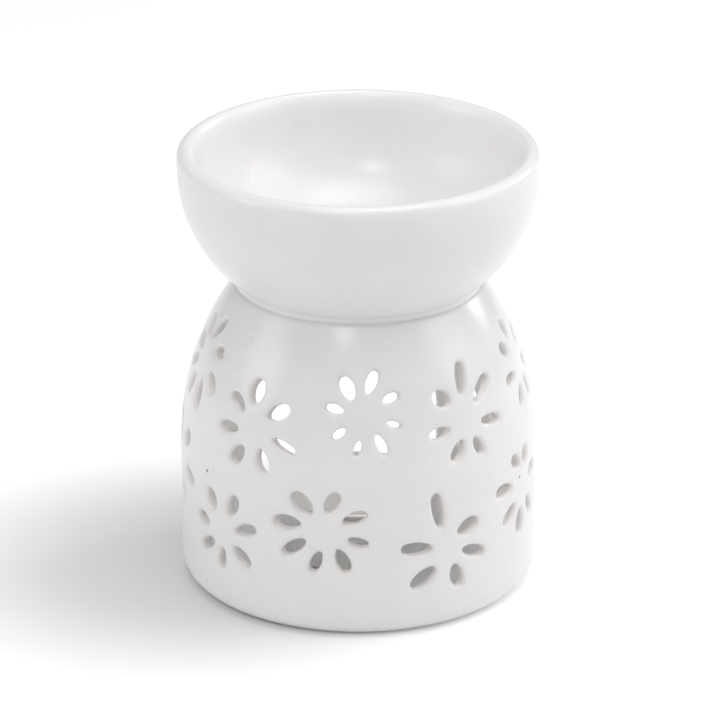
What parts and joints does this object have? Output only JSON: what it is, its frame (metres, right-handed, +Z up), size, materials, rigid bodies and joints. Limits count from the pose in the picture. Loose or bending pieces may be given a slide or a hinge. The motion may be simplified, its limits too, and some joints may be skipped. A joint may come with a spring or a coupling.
{
  "type": "essential oil burner",
  "caption": "White ceramic essential oil burner: a round bowl luted on a pierced dome with a doorway at the back and a tealight that slides in under the bowl.",
  "frame": {"origin": "middle of the foot, on the surface that the burner stands on", "axes": "+Z up along the burner's axis, -Y the front, +Y the back with the doorway for the tealight"},
  "size_m": [0.085, 0.085, 0.1071],
  "materials": {
    "glazed_dome": "satin white glaze",
    "glazed_bowl": "satin white glaze",
    "glazed_slip": "satin white glaze",
    "cup_metal": "bright pressed foil",
    "candle_wax": "waxy, slightly translucent",
    "sustainer_metal": "tinned",
    "wick_cotton": "braided cotton"
  },
  "bodies": {
    "burner": {"pierced_dome": "glazed_dome", "oil_bowl": "glazed_bowl", "slip_joint": "glazed_slip"},
    "tealight": {"tealight_cup": "cup_metal", "tealight_wax": "candle_wax", "wick_sustainer": "sustainer_metal", "tealight_wick": "wick_cotton"}
  },
  "joints": [
    {"name": "tealight_slide", "type": "slide", "parent": "burner", "child": "tealight", "axis": [0, 1, 0], "range_m": [0, 0.075]}
  ]
}
